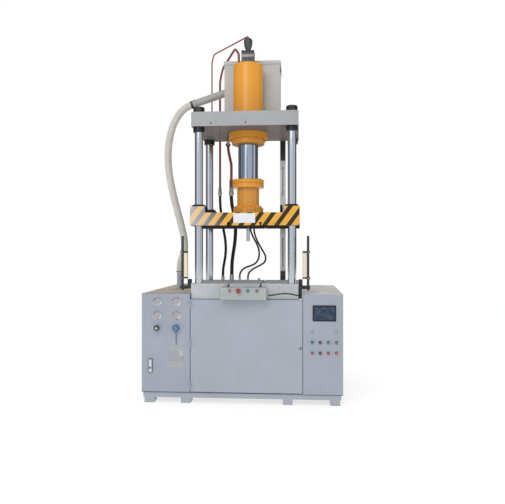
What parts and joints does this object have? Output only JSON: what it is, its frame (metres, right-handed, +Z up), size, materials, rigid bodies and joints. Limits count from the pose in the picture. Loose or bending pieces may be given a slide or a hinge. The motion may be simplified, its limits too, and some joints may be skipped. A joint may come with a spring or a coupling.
{
  "type": "four-column hydraulic press",
  "caption": "Column-guided hydraulic press with a closed bed, a hydraulic station on the left and an electrical cabinet on the right.",
  "frame": {"origin": "on the floor, under the middle of the rigid machine seen from above", "axes": "+Z up, -Y towards the operator, +X to the operator's right"},
  "size_m": [1.806, 1.88, 3.4304],
  "materials": {
    "black_oxide": "black oxide",
    "black_plastic": "fine texture",
    "blue_plastic": "moulded",
    "box_paint": "satin greenish grey enamel",
    "brown_plastic": "moulded",
    "cabinet_paint": "satin light blue-grey enamel",
    "clear_film": "flexible clear film",
    "frame_paint": "satin warm grey enamel",
    "gauge_steel": "stainless bezel and pale dial",
    "green_plastic": "moulded",
    "hard_chrome": "ground and polished hard chrome",
    "hazard_paint": "orange and black diagonal stripes",
    "hose_rubber": "smooth black rubber cover",
    "motor_paint": "blue-grey enamel",
    "orange_paint": "gloss orange enamel",
    "pipe_paint": "dark red enamel",
    "red_plastic": "moulded",
    "screen_black": "dark screen in a black frame",
    "sensor_bar": "cream yellow coat",
    "suction_rubber": "smooth beige grey cover",
    "table_steel": "machined, lightly oiled",
    "valve_steel": "phosphated grey",
    "zinc_steel": "zinc plated"
  },
  "bodies": {
    "frame": {"base_frame": "cabinet_paint", "table_plate": "table_steel", "columns": "hard_chrome", "column_nuts": "black_oxide", "crown_plate": "frame_paint", "cylinder_barrel": "orange_paint", "cylinder_gland": "orange_paint", "filling_valve": "valve_steel", "filling_tank": "frame_paint", "tank_lid": "frame_paint", "suction_pipe": "zinc_steel", "suction_hose": "suction_rubber", "pilot_pipe": "pipe_paint", "pressure_pipe": "pipe_paint", "return_pipe": "pipe_paint", "pressure_hose": "hose_rubber", "return_hose": "hose_rubber", "ejector_hose_left": "hose_rubber", "ejector_hose_right": "hose_rubber", "rear_manifold": "zinc_steel", "sensor_rail": "zinc_steel", "limit_switches": "black_plastic", "light_curtains": "sensor_bar", "curtain_brackets": "black_oxide", "control_box": "box_paint", "control_cable": "hose_rubber", "electrical_cabinet": "cabinet_paint", "touch_screen": "screen_black", "station_cabinet": "cabinet_paint", "oil_reservoir": "frame_paint", "electric_motor": "motor_paint", "hydraulic_pump": "valve_steel", "ejector_cylinder": "valve_steel"},
    "slide": {"slide_body": "hazard_paint", "ram": "hard_chrome", "ram_flange": "orange_paint", "coupling_sleeve": "orange_paint", "guide_bushes": "black_oxide"},
    "upper_ejector": {"upper_ejector_rod": "hard_chrome"},
    "lower_ejector": {"ejector_rod": "hard_chrome"},
    "station_door": {"station_door": "cabinet_paint", "pressure_gauges": "gauge_steel", "document_pouch": "clear_film"},
    "station_latch": {"station_latch": "hard_chrome"},
    "relief_knob": {"relief_knob": "black_plastic"},
    "flow_knob": {"flow_knob": "blue_plastic"},
    "centre_door": {"centre_door": "cabinet_paint"},
    "centre_lock": {"centre_lock": "hard_chrome"},
    "emergency_stop": {"emergency_stop": "red_plastic"},
    "box_button_red": {"box_button_red": "red_plastic"},
    "box_button_green": {"box_button_green": "green_plastic"},
    "box_button_brown": {"box_button_brown": "brown_plastic"},
    "panel_button_high_1": {"panel_button_high_1": "green_plastic"},
    "panel_button_high_3": {"panel_button_high_3": "green_plastic"},
    "panel_button_high_4": {"panel_button_high_4": "green_plastic"},
    "panel_button_low_1": {"panel_button_low_1": "red_plastic"},
    "panel_button_low_3": {"panel_button_low_3": "red_plastic"},
    "panel_button_low_4": {"panel_button_low_4": "red_plastic"},
    "selector_high": {"selector_high": "black_plastic"},
    "selector_low": {"selector_low": "black_plastic"}
  },
  "joints": [
    {"name": "slide_travel", "type": "slide", "parent": "frame", "child": "slide", "axis": [0, 0, 1], "range_m": [-0.34, 0.14], "deforming": ["ejector_hose_left", "ejector_hose_right"]},
    {"name": "upper_ejector_travel", "type": "slide", "parent": "slide", "child": "upper_ejector", "axis": [0, 0, 1], "range_m": [0, 0.08]},
    {"name": "lower_ejector_travel", "type": "slide", "parent": "frame", "child": "lower_ejector", "axis": [0, 0, 1], "range_m": [0, 0.1]},
    {"name": "station_door_hinge", "type": "hinge", "parent": "frame", "child": "station_door", "pos_m": [-0.458, -0.816, 0.294], "axis": [0, 0, 1], "range_deg": [0, 100]},
    {"name": "station_latch_turn", "type": "hinge", "parent": "station_door", "child": "station_latch", "pos_m": [-0.82, -0.808, 0.304], "axis": [0, 1, 0], "range_deg": [0, 90]},
    {"name": "relief_knob_turn", "type": "hinge", "parent": "station_door", "child": "relief_knob", "pos_m": [-0.757, -0.808, 0.676], "axis": [0, 1, 0], "range_deg": [0, 720]},
    {"name": "flow_knob_turn", "type": "hinge", "parent": "station_door", "child": "flow_knob", "pos_m": [-0.584, -0.808, 0.676], "axis": [0, 1, 0], "range_deg": [0, 720]},
    {"name": "centre_door_hinge", "type": "hinge", "parent": "frame", "child": "centre_door", "pos_m": [-0.458, -0.816, 0.294], "axis": [0, 0, 1], "range_deg": [-100, 0]},
    {"name": "centre_lock_turn", "type": "hinge", "parent": "centre_door", "child": "centre_lock", "pos_m": [0.529, -0.808, 0.505], "axis": [0, 1, 0], "range_deg": [0, 90]},
    {"name": "emergency_stop_press", "type": "slide", "parent": "frame", "child": "emergency_stop", "axis": [0, 1, 0], "range_m": [0, 0.004]},
    {"name": "box_button_red_press", "type": "slide", "parent": "frame", "child": "box_button_red", "axis": [0, 1, 0], "range_m": [0, 0.004], "stiffness_N_per_m": 400, "springref_m": -0.004},
    {"name": "box_button_green_press", "type": "slide", "parent": "frame", "child": "box_button_green", "axis": [0, 1, 0], "range_m": [0, 0.004], "stiffness_N_per_m": 400, "springref_m": -0.004},
    {"name": "box_button_brown_press", "type": "slide", "parent": "frame", "child": "box_button_brown", "axis": [0, 1, 0], "range_m": [0, 0.004], "stiffness_N_per_m": 400, "springref_m": -0.004},
    {"name": "panel_button_high_1_press", "type": "slide", "parent": "frame", "child": "panel_button_high_1", "axis": [0, 1, 0], "range_m": [0, 0.004], "stiffness_N_per_m": 400, "springref_m": -0.004},
    {"name": "panel_button_high_3_press", "type": "slide", "parent": "frame", "child": "panel_button_high_3", "axis": [0, 1, 0], "range_m": [0, 0.004], "stiffness_N_per_m": 400, "springref_m": -0.004},
    {"name": "panel_button_high_4_press", "type": "slide", "parent": "frame", "child": "panel_button_high_4", "axis": [0, 1, 0], "range_m": [0, 0.004], "stiffness_N_per_m": 400, "springref_m": -0.004},
    {"name": "panel_button_low_1_press", "type": "slide", "parent": "frame", "child": "panel_button_low_1", "axis": [0, 1, 0], "range_m": [0, 0.004], "stiffness_N_per_m": 400, "springref_m": -0.004},
    {"name": "panel_button_low_3_press", "type": "slide", "parent": "frame", "child": "panel_button_low_3", "axis": [0, 1, 0], "range_m": [0, 0.004], "stiffness_N_per_m": 400, "springref_m": -0.004},
    {"name": "panel_button_low_4_press", "type": "slide", "parent": "frame", "child": "panel_button_low_4", "axis": [0, 1, 0], "range_m": [0, 0.004], "stiffness_N_per_m": 400, "springref_m": -0.004},
    {"name": "selector_high_turn", "type": "hinge", "parent": "frame", "child": "selector_high", "pos_m": [0.7025, -0.808, 0.56], "axis": [0, 1, 0], "range_deg": [-45, 45]},
    {"name": "selector_low_turn", "type": "hinge", "parent": "frame", "child": "selector_low", "pos_m": [0.7025, -0.808, 0.466], "axis": [0, 1, 0], "range_deg": [-45, 45]}
  ]
}
